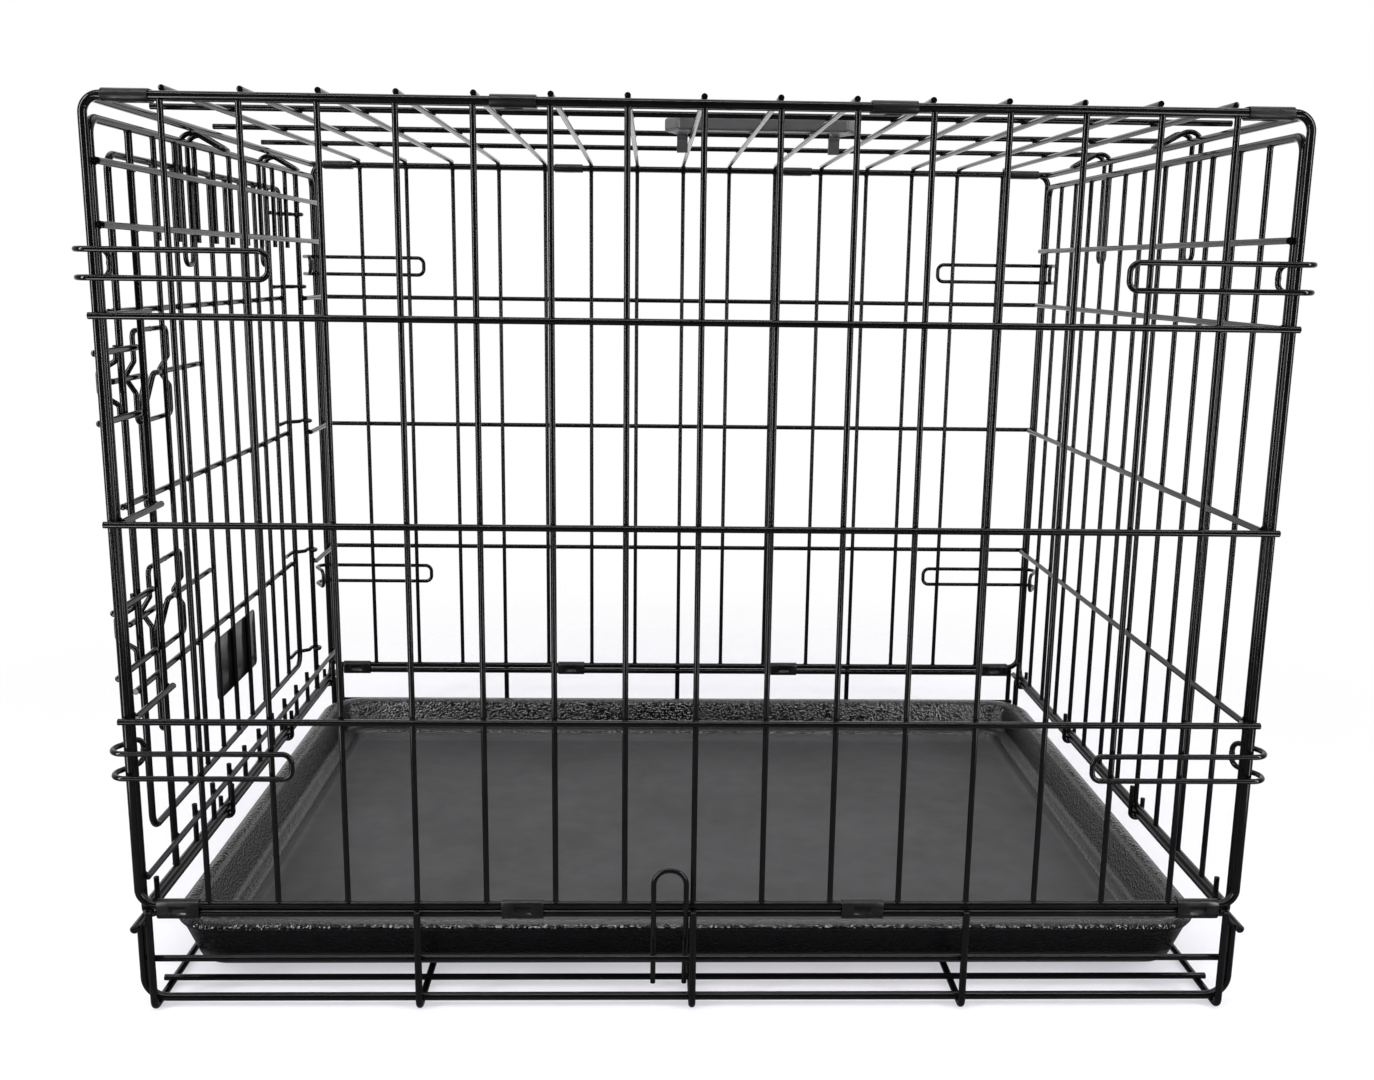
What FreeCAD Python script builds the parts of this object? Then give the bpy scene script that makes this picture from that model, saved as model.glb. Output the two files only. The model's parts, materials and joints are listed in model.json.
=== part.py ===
import FreeCAD, Part
import math
import os

# Folding wire dog crate, erected, with the latched door in its left end.
# Frame: X along the crate, Y from front to back, Z up, origin on the floor below its middle.
# All sizes are in millimetres.
V = FreeCAD.Vector

# Driving sizes of the whole crate
crate_length = 610.0          # between the centres of the front panel's posts
crate_depth = 460.0           # between the front and the back panel
side_height = 427.0           # of a long panel, from its bottom rail to its top rail
hinge_height = 57.1           # of the base's front and back hinge rails above the floor
end_rail_height = 52.0        # of the base's end rails above the floor
line_overhang = 8.0           # of the roof's long wires past its end rails
lid_drop = 10.0               # from the roof's end rail down to an end panel's top rail

# Wire radii
rail_r = 2.3                  # rails and posts of all panels
mesh_r = 1.6                  # upright mesh wires
line_r = 1.8                  # lengthwise mesh wires
cross_r = 2.0                 # bent wires under the floor
hook_r = 1.5                  # hooks, curls and latch brackets
bolt_r = 1.7                  # slide bolts

# Clearances
weld_gap = 0.05               # between wires that are welded where they cross
hinge_gap = 0.1               # around a wire that something turns on
side_gap = 0.5                # between neighbouring panels
rest_gap = 0.3                # between pieces that rest on each other
cut_margin = 1.0              # by which a cut runs past the faces that it opens

# Mesh spacing
long_cells = 16               # between posts of a long panel
end_cells = 12                # between posts of an end panel
row_share = (0.25, 0.5, 0.75)  # heights of the mesh rows on every upright panel
corner_bend = 9.0             # bend radius of a panel frame's corners
base_bend = 12.0              # bend radius of the base wires

# Base
skirt_drop = 2.0              # of the skirt wire below the middle between its two rails
end_rail_overhang = 10.0      # of the base's end rails past the long panels
cross_inset = 6.0             # from the posts' plane to the outermost cross wires
floor_inset = 22.0            # from a long panel's plane to the outermost floor wire
floor_lap = 3.0               # of the floor wires past the outermost cross wires
stop_place = -13.0            # of the pan's stop along X
stop_half = 9.0               # half the distance between the stop's two legs
stop_rise = 22.0              # of the stop's arch above the long panel's bottom rail
stop_bend = 8.5               # bend radius of the stop's arch

# Corner hooks
hook_arm = 88.0               # from the post to the tip of the long arm
hook_half = 7.0               # half the distance between a hook's two wires
hook_clear = 0.8              # between a hook's wire and the post beside it
hook_play = 1.5               # from the post's centre to the start of the hook's bend
hook_nose = 18.0              # length of the flared nose
hook_flare = 60.0             # degrees between the nose and the long arm
nose_bend = 5.0               # bend radius at both ends of the closed loop
hook_heights = (144.0, 408.0)  # middles of the corner hooks above the floor
roof_hook_arm = 68.0          # arm of the hooks on the ends' top rails
roof_hook_share = (0.34, 0.71)  # places of the hooks along an end's top rail

# Feet of the end panels
foot_margin = 10.0            # from an end panel's post to the foot beside it
foot_middle = 75.0            # from the crate's middle to the inner feet
foot_rise = 14.0              # of a foot's inner leg above the end's bottom rail
foot_tip = 10.0               # of a foot's outer tip above the base's end rail

# Door and latches
opening_margin = 52.0         # from an end panel's post to the door opening's edge wire
door_front_margin = 44.0      # from the front post to the door's front edge
door_back_margin = 16.0       # from the hinge wire to the door's back edge
door_top_drop = 14.0          # from the end panel's top rail down to the door's top
door_bottom_rise = 28.0       # from the end panel's bottom rail up to the door's bottom
door_offset = 9.0             # from the end panel's plane out to the door's plane
door_r = 2.0                  # door frame wire
sill_drop = 8.0               # from the door's bottom down to the opening's sill wire
short_lap = 4.0               # of the short wires past the lintel and the sill
lintel_drops = (21.0, 52.0)   # full-width wires above the opening, below the top rail
curl_rise = 9.0               # of a hinge curl above its mesh row
curl_lap = 14.0               # of a hinge curl along the door
curl_lead = 3.0               # of a hinge curl past the door's back edge
curl_approach = 6.0           # from the hinge wire to the point where a curl comes level with it
curl_bend_small = 2.0         # bend radius where a curl leaves the door
latch_rises = (16.0, -14.0)   # of the upper and the lower latch above the middle between two rows
bracket_half = 26.0           # half the height of a latch bracket
bracket_width = 54.0
bracket_bend = 4.0            # bend radius of a bracket's corners
notch_bend = 2.0              # bend radius of its notch
bracket_setback = 28.0        # from the door's front edge to the bracket
notch_depth = 5.7             # of the notch that holds the bolt
notch_half = 9.0
bolt_out = 1.0                # from the bracket's plane out to the bolt
bolt_setback = 2.0            # of the drawn bolt's tip past the door's front edge
grip_setback = 20.0           # from the bracket's front leg to the bolt's grip
bolt_tail = 57.0              # of the bolt behind its bracket
grip_drop = 80.0              # length of the bolt's hanging grip
grip_width = 11.0
grip_shoulder = 18.0          # height over which the bolt's wire leans out to the grip
grip_taper = 1.0              # by which each side of the grip narrows
bolt_bend = 3.0               # bend radius of a bolt's shoulders
grip_bend = 4.0               # bend radius at the foot of a grip
grip_out = 5.0                # from the bolt out to the grip's plane
keeper_half = 18.0            # half the distance between a keeper's two stubs
keeper_setback = 34.0         # from the post to the keeper
keeper_reach = 4.0            # from the bolt's centre out to the keeper's
keeper_lap = 2.0              # of a keeper past its stubs
keeper_ramp = 12.0            # from the bolt to where the keeper starts to lean out
keeper_flat = 6.0             # half the keeper's outer stretch
keeper_bend = 3.0             # bend radius of a keeper
plate_width = 90.0
plate_height = 42.0
plate_thick = 1.2
plate_corner = 2.0
plate_shift = 12.0            # from the door's middle to the plate's
plate_drop = 7.0              # from the door's lowest row down to the plate

# Floor pan
pan_end_gap = 3.0             # from the posts' plane to the pan's rim
pan_side_gap = 20.0
pan_height = 31.0
pan_wall = 2.5
pan_corner = 28.0
pan_slope = 8.0               # inward slope of the pan's wall
rim_width = 4.0

# Hinge clips
clip_length = 23.0
clip_wall = 0.9
clip_window = 8.0
clip_shares = (0.035, 0.345, 0.655, 0.965)

# Carry handle
handle_middle = 44.2          # along X from the crate's middle
handle_span = 100.4           # between its two eyes
handle_reach = 41.0           # from the wire that it turns on to the grip's far edge
handle_grip = 14.0            # width of the grip
handle_thick = 9.0
handle_edge = 2.0             # rounding of its edges
ear_flare = 12.0              # of an ear's tip past its eye
ear_tip = 22.0                # from the wire to an ear's tip
eye_wall = 2.2
eye_width = 7.0
tab_drop = 12.0               # of the tab under an eye, below the wire's centre
tab_thick = 4.0

# Derived places
half_x = crate_length / 2
half_y = crate_depth / 2
panel_bottom = hinge_height + 2 * rail_r + rest_gap
panel_top = panel_bottom + side_height
lid_inset = 2 * rail_r + side_gap
end_inset = 2 * rail_r + weld_gap + clip_wall + side_gap
end_half = half_y - end_inset
end_bottom = end_rail_height + 2 * rail_r + hinge_gap
end_top = panel_top - lid_drop
rows = [panel_bottom + share * side_height for share in row_share]
latch_heights = [(rows[2] + rows[1]) / 2 + latch_rises[0], (rows[1] + rows[0]) / 2 + latch_rises[1]]
mesh_shift = rail_r - mesh_r
line_shift = rail_r + line_r + weld_gap
cell = crate_length / long_cells
hook_bend = end_inset / 2 + rail_r + hook_r + hook_clear
hook_back = hook_bend + hook_play
door_x = -half_x - door_offset
door_wire_x = door_x - (door_r - mesh_r)
bracket_x = door_wire_x - mesh_r - hook_r - weld_gap
bolt_x = bracket_x - bolt_out
grip_x = bolt_x - grip_out
# The latch grips reach further out than the hooks at the other end, so the middle lies off the panels'
left_reach = bolt_r - grip_x
right_reach = half_x + hook_back + hook_r
origin_shift = (left_reach - right_reach) / 2


def rod(start, end, radius):
    """A straight round wire between two points."""
    way = end.sub(start)
    return Part.makeCylinder(radius, way.Length, start, way)


def bent(points, bends, radius):
    """A round wire along straight runs, with a tangent arc at each inner point."""
    edges = []
    last = points[0]
    for index in range(1, len(points) - 1):
        before = points[index - 1].sub(points[index]).normalize()
        after = points[index + 1].sub(points[index]).normalize()
        bend = bends[index - 1] if isinstance(bends, (list, tuple)) else bends
        half = before.getAngle(after) / 2
        reach = bend / math.tan(half)
        first = points[index] + before * reach
        second = points[index] + after * reach
        bisector = before.add(after).normalize()
        centre = points[index] + bisector * (bend / math.sin(half))
        middle = centre - bisector * bend
        if first.sub(last).Length > 1e-4:
            edges.append(Part.LineSegment(last, first).toShape())
        edges.append(Part.Arc(first, middle, second).toShape())
        last = second
    if points[-1].sub(last).Length > 1e-4:
        edges.append(Part.LineSegment(last, points[-1]).toShape())
    path = Part.Wire(edges)
    start = points[0]
    way = points[1].sub(points[0])
    profile = Part.Wire(Part.makeCircle(radius, start, way))
    return path.makePipeShell([profile], True, False)


def save(name, *solids):
    """Write one node, a single solid or a group of separate solids."""
    shape = solids[0] if len(solids) == 1 else Part.makeCompound(list(solids))
    shape.translate(V(origin_shift, 0, 0))
    shape.exportStep("parts/" + name + ".step")


def ring_frame(corners, bend, radius):
    """A closed rectangular frame of one bent wire whose ends butt together."""
    first, second, third, fourth = corners
    middle = (first + second) * 0.5
    seam = second.sub(first).normalize() * weld_gap
    points = [middle + seam, second, third, fourth, first, middle]
    return bent(points, bend, radius)


def upright_frame(x, y, along_x, half, bottom, top):
    """A panel frame standing in the XZ or the YZ plane."""
    way = V(1, 0, 0) if along_x else V(0, 1, 0)
    base = V(x, y, bottom)
    lift = V(0, 0, top - bottom)
    left = base - way * half
    right = base + way * half
    return ring_frame([left, right, right + lift, left + lift], corner_bend, rail_r)


os.makedirs("parts", exist_ok=True)

# Base: front and back rails, bent up at both ends to carry the end rails
rail_z = 2 * cross_r + rail_r + weld_gap
skirt_z = (rail_z + hinge_height) / 2 - skirt_drop
for name, side in (("front", -1), ("back", 1)):
    y = side * half_y
    foot = end_rail_height - rail_r - weld_gap
    points = [V(-half_x, y, foot), V(-half_x, y, rail_z), V(half_x, y, rail_z), V(half_x, y, foot)]
    save("base_%s_rail" % name, bent(points, base_bend, rail_r))
    hinge_end = half_x - base_bend
    save("base_%s_hinge_rail" % name,
         rod(V(-hinge_end, y, hinge_height), V(hinge_end, y, hinge_height), rail_r))
    skirt_end = half_x - rail_r - line_r
    save("base_%s_skirt_wire" % name,
         rod(V(-skirt_end, y, skirt_z), V(skirt_end, y, skirt_z), line_r))

end_rail_tip = half_y + end_rail_overhang
for name, side in (("left", -1), ("right", 1)):
    x = side * half_x
    save("base_%s_end_rail" % name,
         rod(V(x, -end_rail_tip, end_rail_height), V(x, end_rail_tip, end_rail_height), rail_r))

# Cross wires run under the floor and turn up outside the long sides
cross_bend = rail_r + cross_r + weld_gap
upright_y = half_y + cross_bend
upright_top = hinge_height + rail_r
cross_end = half_x - cross_inset
cross_places = [-cross_end, -half_x / 2, 0.0, half_x / 2, cross_end]
cross_wires = []
for x in cross_places:
    points = [V(x, -upright_y, upright_top), V(x, -upright_y, cross_r), V(x, upright_y, cross_r),
              V(x, upright_y, upright_top)]
    cross_wires.append(bent(points, cross_bend, cross_r))
save("base_cross_wires", *cross_wires)

# Floor wires lie on the cross wires and leave the ends open, so that the pan can slide out under the end rail
floor_z = 2 * cross_r + line_r + weld_gap
floor_edge = half_y - floor_inset
floor_end = cross_end + floor_lap
floor_wires = []
for y in (-floor_edge, -half_y / 2, 0.0, half_y / 2, floor_edge):
    floor_wires.append(rod(V(-floor_end, y, floor_z), V(floor_end, y, floor_z), line_r))
save("base_floor_wires", *floor_wires)

# The pan's stop: its legs stand on the front floor wire and lean out over the hinge rail
stop_out = -half_y - rail_r - hook_r - weld_gap
stop_in = -floor_edge - line_r - hook_r - weld_gap
stop_turn = hinge_height - 2 * rail_r
stop_high = panel_bottom + stop_rise
arch = []
for x in (stop_place - stop_half, stop_place + stop_half):
    arch.append([V(x, stop_in, floor_z - line_r), V(x, stop_in, floor_z + line_r),
                 V(x, stop_out, stop_turn), V(x, stop_out, stop_high)])
points = arch[0] + arch[1][::-1]
bends = [base_bend / 2, base_bend, stop_bend, stop_bend, base_bend, base_bend / 2]
save("pan_stop_loop", bent(points, bends, hook_r))

# Floor pan: a moulded tray with sloping walls and a flat rim
pan_low = floor_z + line_r + rest_gap
pan_x = half_x - pan_end_gap
pan_y = half_y - pan_side_gap


def rounded_plate(half_a, half_b, radius, z):
    """A closed wire, a rectangle with round corners at one height."""
    a = half_a - radius
    b = half_b - radius
    turn = math.sqrt(0.5) * radius
    edges = []
    for index in range(4):
        sign_x = (1, -1, -1, 1)[index]
        sign_y = (1, 1, -1, -1)[index]
        start = V(sign_x * half_a, sign_y * b, z)
        end = V(sign_x * a, sign_y * half_b, z)
        if index % 2:
            start, end = end, start
        centre = V(sign_x * (a + turn), sign_y * (b + turn), z)
        edges.append(Part.Arc(start, centre, end).toShape())
        next_x = (-1, -1, 1, 1)[index]
        next_y = (1, -1, -1, 1)[index]
        if index % 2:
            target = V(next_x * half_a, next_y * b, z)
        else:
            target = V(next_x * a, next_y * half_b, z)
        edges.append(Part.LineSegment(end, target).toShape())
    return Part.Wire(edges)


def tray_body(inset, low, high):
    """A solid with sloping sides between two heights, the size of the pan less an inset."""
    body_x = pan_x - rim_width - inset
    body_y = pan_y - rim_width - inset
    lower = rounded_plate(body_x - pan_slope, body_y - pan_slope, pan_corner - inset, low)
    upper = rounded_plate(body_x, body_y, pan_corner - inset, high)
    return Part.makeLoft([lower, upper], True, True)


pan_top = pan_low + pan_height
rim = Part.Face(rounded_plate(pan_x, pan_y, pan_corner + rim_width, pan_top - pan_wall))
tray = tray_body(0, pan_low, pan_top).fuse(rim.extrude(V(0, 0, pan_wall)))
save("floor_pan", tray.cut(tray_body(pan_wall, pan_low + pan_wall, pan_top + weld_gap)).removeSplitter())

# Long panels: a frame, upright wires inside it and rows of wires across their outer side
for name, side in (("front", -1), ("back", 1)):
    y = side * half_y
    save(name + "_panel_frame", upright_frame(0, y, True, half_x, panel_bottom, panel_top))
    wires = []
    for index in range(1, long_cells):
        x = -half_x + index * cell
        wire_y = y + side * mesh_shift
        low = panel_bottom + rail_r + weld_gap
        high = panel_top - rail_r - weld_gap
        wires.append(rod(V(x, wire_y, low), V(x, wire_y, high), mesh_r))
    save(name + "_panel_uprights", *wires)
    line_y = y + side * line_shift
    reach = half_x + rail_r
    save(name + "_panel_rows", *[rod(V(-reach, line_y, z), V(reach, line_y, z), line_r) for z in rows])

# Roof: a frame between the long panels, wires across it and three wires along it
roof_half_y = half_y - lid_inset
corners = [V(-half_x, -roof_half_y, panel_top), V(half_x, -roof_half_y, panel_top),
           V(half_x, roof_half_y, panel_top), V(-half_x, roof_half_y, panel_top)]
save("roof_frame", ring_frame(corners, corner_bend, rail_r))
roof_wire_z = panel_top + rail_r + mesh_r + weld_gap
roof_reach = roof_half_y + rail_r
roof_wires = []
for index in range(1, long_cells):
    x = -half_x + index * cell
    roof_wires.append(rod(V(x, -roof_reach, roof_wire_z), V(x, roof_reach, roof_wire_z), mesh_r))
save("roof_cross_wires", *roof_wires)
roof_line_z = roof_wire_z + mesh_r + line_r + weld_gap
roof_line_places = [-roof_half_y / 2, 0.0, roof_half_y / 2]
line_reach = half_x + line_overhang
save("roof_long_wires", *[rod(V(-line_reach, y, roof_line_z), V(line_reach, y, roof_line_z), line_r)
                          for y in roof_line_places])

# Sheet metal clips that hold neighbouring rails together and let the panels fold


def clip(x, first, second):
    """A sleeve around two rails along X, with a window pressed in its middle."""
    way = second.sub(first).normalize()
    spread = second.sub(first).Length
    turn = V(1, 0, 0).cross(way)
    outer_r = rail_r + weld_gap + clip_wall
    inner_r = rail_r + weld_gap

    def sleeve(radius, length):
        start = V(x - length / 2, first.y, first.z)
        solid = Part.makeCylinder(radius, length, start, V(1, 0, 0))
        solid = solid.fuse(Part.makeCylinder(radius, length, start + way * spread, V(1, 0, 0)))
        corner = start + turn * -radius
        wire = Part.makePolygon([corner, corner + way * spread, corner + way * spread + turn * 2 * radius,
                                 corner + turn * 2 * radius, corner])
        return solid.fuse(Part.Face(wire).extrude(V(length, 0, 0)))

    shell = sleeve(outer_r, clip_length).cut(sleeve(inner_r, clip_length + 2 * cut_margin))
    window_edge = first + way * (spread / 2 - clip_window / 4) + turn * 0.5
    corner = V(x - clip_window / 2, window_edge.y, window_edge.z)
    wire = Part.makePolygon([corner, corner + way * clip_window / 2,
                             corner + way * clip_window / 2 + turn * 2 * outer_r,
                             corner + turn * 2 * outer_r, corner])
    return shell.cut(Part.Face(wire).extrude(V(clip_window, 0, 0)))


for name, side in (("front", -1), ("back", 1)):
    places = [-half_x + share * crate_length for share in clip_shares]
    y = side * half_y
    upper = V(0, y, panel_top)
    roof_rail = V(0, side * roof_half_y, panel_top)
    save(name + "_top_clips", *[clip(x, upper, roof_rail) for x in places])
    lower = V(0, y, panel_bottom)
    hinge_rail = V(0, y, hinge_height)
    save(name + "_bottom_clips", *[clip(x, lower, hinge_rail) for x in places])

# Hooks: closed loops of wire bent round a post or rail, with a long arm and a flared nose


def hook(origin, arm, along, across, spread):
    """A hook whose arm runs along, whose nose lies across, and whose two wires are spread."""
    turn = math.radians(90 - hook_flare) / 2
    shoulder = hook_bend * math.tan(turn) + hook_bend + side_gap
    flare = math.radians(hook_flare)
    outline = [(-hook_back, shoulder - hook_bend), (-hook_back, -hook_bend), (arm, -hook_bend)]
    tip = (outline[0][0] + hook_nose * math.cos(flare), outline[0][1] + hook_nose * math.sin(flare))

    def place(pair, level):
        return origin + along * pair[0] + across * pair[1] + spread * level

    one_side = [place(pair, hook_half) for pair in [tip] + outline]
    other_side = [place(pair, -hook_half) for pair in reversed([tip] + outline)]
    start = place(tip, weld_gap)
    end = place(tip, 0)
    bends = [nose_bend, hook_bend, hook_bend, nose_bend]
    return bent([start] + one_side + other_side + [end], bends + bends[::-1], hook_r)


UP = V(0, 0, 1)
DOWN = V(0, 0, -1)
for side_name, side in (("front", -1), ("back", 1)):
    for end_name, end in (("left", -1), ("right", 1)):
        for level_name, z in zip(("lower", "upper"), hook_heights):
            inward = V(0, -side, 0)
            post = V(end * half_x, side * half_y, z)
            shape = hook(post + inward * (end_inset / 2), hook_arm, V(-end, 0, 0), inward, UP)
            save("%s_%s_%s_hook" % (side_name, end_name, level_name), shape)

seat_reach = hook_bend - hook_r - rail_r - rest_gap
roof_seat = hook_play + math.sqrt(seat_reach ** 2 - (end_inset / 2) ** 2)
roof_hook_places = [-end_half + share * 2 * end_half for share in roof_hook_share]


def roof_hook(rail, inward):
    """A hook hanging outside an end, bent over one of its top rails."""
    seat = rail + DOWN * roof_seat + inward * (end_inset / 2)
    return hook(seat, roof_hook_arm, DOWN, inward, V(0, 1, 0))


for name, y in zip(("front", "back"), roof_hook_places):
    save("right_end_%s_hook" % name, roof_hook(V(half_x, y, panel_top), V(-1, 0, 0)))
save("left_end_hooks", *[roof_hook(V(-half_x, y, end_top), V(1, 0, 0)) for y in roof_hook_places])

# End panels: both stand on the base's end rails on bent feet that turn round them
foot_bend = rail_r + hinge_gap + hook_r
foot_end = end_half - foot_margin
foot_places = [-foot_end, -foot_middle, foot_middle, foot_end]
mesh_low = end_bottom + rail_r + weld_gap
mesh_high = end_top - rail_r - weld_gap
lintels = [end_top - drop for drop in lintel_drops]


def end_feet(x, inward):
    """Bent feet under an end panel, open upwards on the outside."""
    feet = []
    for y in foot_places:
        inner = x + inward * foot_bend
        outer = x - inward * foot_bend
        low = end_rail_height - foot_bend
        points = [V(inner, y, end_bottom + foot_rise), V(inner, y, low), V(outer, y, low),
                  V(outer, y, end_rail_height + foot_tip)]
        feet.append(bent(points, foot_bend, hook_r))
    return feet


def end_row(x, inward, z, low, high):
    """A wire across the inner side of an end panel."""
    return rod(V(x + inward * line_shift, low, z), V(x + inward * line_shift, high, z), line_r)


row_reach = end_half + rail_r
for name, inward in (("left", 1), ("right", -1)):
    x = -inward * half_x
    save(name + "_end_frame", upright_frame(x, 0, False, end_half, end_bottom, end_top))
    save(name + "_end_feet", *end_feet(x, inward))

pitch = 2 * end_half / end_cells
right_x = half_x - mesh_shift
save("right_end_uprights", *[rod(V(right_x, -end_half + index * pitch, mesh_low),
                                 V(right_x, -end_half + index * pitch, mesh_high), mesh_r)
                             for index in range(1, end_cells)])
save("right_end_rows", *[end_row(half_x, -1, z, -row_reach, row_reach) for z in rows + [lintels[1]]])

# Left end: an opening between two edge wires, with short wires above and below it
edge_y = end_half - opening_margin
edge_r = door_r
save("left_end_edge_wires", *[rod(V(-half_x, y, mesh_low), V(-half_x, y, mesh_high), edge_r)
                              for y in (-edge_y, edge_y)])
sill_z = end_bottom + door_bottom_rise - sill_drop
left_rows = [end_row(-half_x, 1, z, -row_reach, row_reach) for z in lintels + [sill_z]]
for z in rows:
    left_rows.append(end_row(-half_x, 1, z, -row_reach, -edge_y + edge_r))
    left_rows.append(end_row(-half_x, 1, z, edge_y - edge_r, row_reach))
save("left_end_rows", *left_rows)
short_wires = []
short_end = line_r + short_lap
left_x = -half_x + mesh_shift
short_count = end_cells - 2
for index in range(1, short_count):
    y = -edge_y + index * 2 * edge_y / short_count
    short_wires.append(rod(V(left_x, y, lintels[1] - short_end), V(left_x, y, mesh_high), mesh_r))
    short_wires.append(rod(V(left_x, y, mesh_low), V(left_x, y, sill_z + short_end), mesh_r))
save("left_end_short_wires", *short_wires)

# Door: a frame outside the left end that turns on the opening's back edge wire
door_front = -end_half + door_front_margin
door_back = edge_y - door_back_margin
door_low = end_bottom + door_bottom_rise
door_high = end_top - door_top_drop
door_middle = (door_front + door_back) / 2
corners = [V(door_x, door_front, door_low), V(door_x, door_back, door_low),
           V(door_x, door_back, door_high), V(door_x, door_front, door_high)]
save("door_frame", ring_frame(corners, corner_bend, door_r))
door_cells = end_cells - 2
door_pitch = (door_back - door_front) / door_cells
door_wire_low = door_low + door_r + weld_gap
door_wire_high = door_high - door_r - weld_gap
save("door_uprights", *[rod(V(door_wire_x, door_front + index * door_pitch, door_wire_low),
                            V(door_wire_x, door_front + index * door_pitch, door_wire_high), mesh_r)
                        for index in range(1, door_cells)])
door_row_x = door_x - door_r - line_r - weld_gap
save("door_rows", *[rod(V(door_row_x, door_front - door_r, z), V(door_row_x, door_back + door_r, z), line_r)
                    for z in rows])

# Curls of wire on the door that turn round the opening's edge wire
curl_bend = edge_r + hinge_gap + hook_r
curl_x = door_x - door_r - hook_r - weld_gap
curl_heights = [door_high - 2 * curl_rise, door_low + curl_rise] + [z + curl_rise for z in rows]
curls = []
for z in curl_heights:
    near = -half_x - curl_bend
    far = -half_x + curl_bend
    points = [V(curl_x, door_back - curl_lap, z), V(curl_x, door_back + curl_lead, z),
              V(near, edge_y - curl_approach, z), V(near, edge_y + curl_bend, z),
              V(far, edge_y + curl_bend, z), V(far, edge_y - curl_bend, z),
              V(-half_x + side_gap, edge_y - curl_bend, z)]
    bends = [curl_bend_small, curl_bend_small, curl_bend, curl_bend, curl_bend_small]
    curls.append(bent(points, bends, hook_r))
save("door_hinge_curls", *curls)

plate_x = door_wire_x - mesh_r - weld_gap - plate_thick
plate_y = door_middle + plate_shift - plate_width / 2
plate_z = rows[0] - line_r - plate_drop - plate_height
plate = Part.makeBox(plate_thick, plate_width, plate_height, V(plate_x, plate_y, plate_z))
plate_edges = [edge for edge in plate.Edges if abs(edge.tangentAt(edge.FirstParameter).x) > 0.9]
save("label_plate", plate.makeFillet(plate_corner, plate_edges))

# Latches: a notched bracket on the door, a sliding bolt with a hanging grip, and a keeper
bracket_front = door_front + bracket_setback
bracket_back = bracket_front + bracket_width
keeper_stub_x = -half_x - line_shift
keeper_x = keeper_stub_x - line_r - hook_r - weld_gap
keeper_y = -end_half + keeper_setback
keepers = []


def notch_leg(y, z):
    """The notch in one leg of a latch bracket, from top to bottom."""
    return [V(bracket_x, y, z + notch_half), V(bracket_x - notch_depth, y, z),
            V(bracket_x, y, z - notch_half)]


for name, z in zip(("upper", "lower"), latch_heights):
    high = z + bracket_half
    low = z - bracket_half
    middle = V(bracket_x, (bracket_front + bracket_back) / 2, high)
    points = [middle + V(0, weld_gap, 0), V(bracket_x, bracket_back, high)]
    points += notch_leg(bracket_back, z)
    points += [V(bracket_x, bracket_back, low), V(bracket_x, bracket_front, low)]
    points += notch_leg(bracket_front, z)[::-1] + [V(bracket_x, bracket_front, high), middle]
    half_bends = [bracket_bend, notch_bend, notch_bend, notch_bend, bracket_bend]
    save(name + "_latch_bracket", bent(points, half_bends * 2, hook_r))

    front = bracket_front + grip_setback
    back = front + grip_width
    shoulder = z - grip_shoulder
    foot = z - grip_drop
    grip_front = front + grip_taper
    grip_back = back - grip_taper
    points = [V(bolt_x, door_front - bolt_setback, z), V(bolt_x, front, z),
              V(grip_x, grip_front, shoulder), V(grip_x, grip_front, foot),
              V(grip_x, grip_back, foot), V(grip_x, grip_back, shoulder),
              V(bolt_x, back, z), V(bolt_x, bracket_back + bolt_tail, z)]
    bends = [bolt_bend, bolt_bend, grip_bend, grip_bend, bolt_bend, bolt_bend]
    save(name + "_bolt", bent(points, bends, bolt_r))

    for stub_z in (z - keeper_half, z + keeper_half):
        stub_start = V(keeper_stub_x, -row_reach, stub_z)
        keepers.append(rod(stub_start, V(keeper_stub_x, -edge_y + edge_r, stub_z), line_r))
    reach = bolt_x - keeper_reach
    keeper_end = keeper_half + keeper_lap
    points = [V(keeper_x, keeper_y, z + keeper_end), V(keeper_x, keeper_y, z + keeper_ramp),
              V(reach, keeper_y, z + keeper_flat), V(reach, keeper_y, z - keeper_flat),
              V(keeper_x, keeper_y, z - keeper_ramp), V(keeper_x, keeper_y, z - keeper_end)]
    keepers.append(bent(points, keeper_bend, hook_r))
save("latch_keepers", *keepers)

# Carry handle: a moulded grip with flared ears, whose eyes turn on the roof's middle wire
handle_low = roof_wire_z + mesh_r + side_gap
handle_left = handle_middle - handle_span / 2
handle_right = handle_middle + handle_span / 2
eye_r = line_r + hinge_gap + eye_wall
half_eye = eye_width / 2


def ear(x, out):
    """Corners of one ear in plan, from the grip's far edge round to its inner edge."""
    return [V(x + out * half_eye, -handle_reach, handle_low),
            V(x + out * ear_flare, -ear_tip, handle_low),
            V(x + out * half_eye, -eye_r, handle_low),
            V(x - out * half_eye, -eye_r, handle_low),
            V(x - out * eye_width, handle_grip - handle_reach, handle_low)]


outline = ear(handle_right, 1) + ear(handle_left, -1)[::-1]
handle = Part.Face(Part.makePolygon(outline + outline[:1])).extrude(V(0, 0, handle_thick))
handle = handle.makeFillet(handle_edge, handle.Edges)
for x in (handle_left, handle_right):
    eye = Part.makeCylinder(eye_r, eye_width, V(x - half_eye, 0, roof_line_z), V(1, 0, 0))
    tab = Part.makeBox(eye_width, tab_thick, tab_drop,
                       V(x - half_eye, -tab_thick / 2, roof_line_z - tab_drop))
    lug = Part.makeBox(eye_width, eye_r + handle_edge, handle_thick / 2,
                       V(x - half_eye, -eye_r - handle_edge, handle_low))
    handle = handle.fuse(eye).fuse(tab).fuse(lug)
bore = Part.makeCylinder(line_r + hinge_gap, crate_length, V(-half_x, 0, roof_line_z), V(1, 0, 0))
save("carry_handle", handle.cut(bore).removeSplitter())
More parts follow.
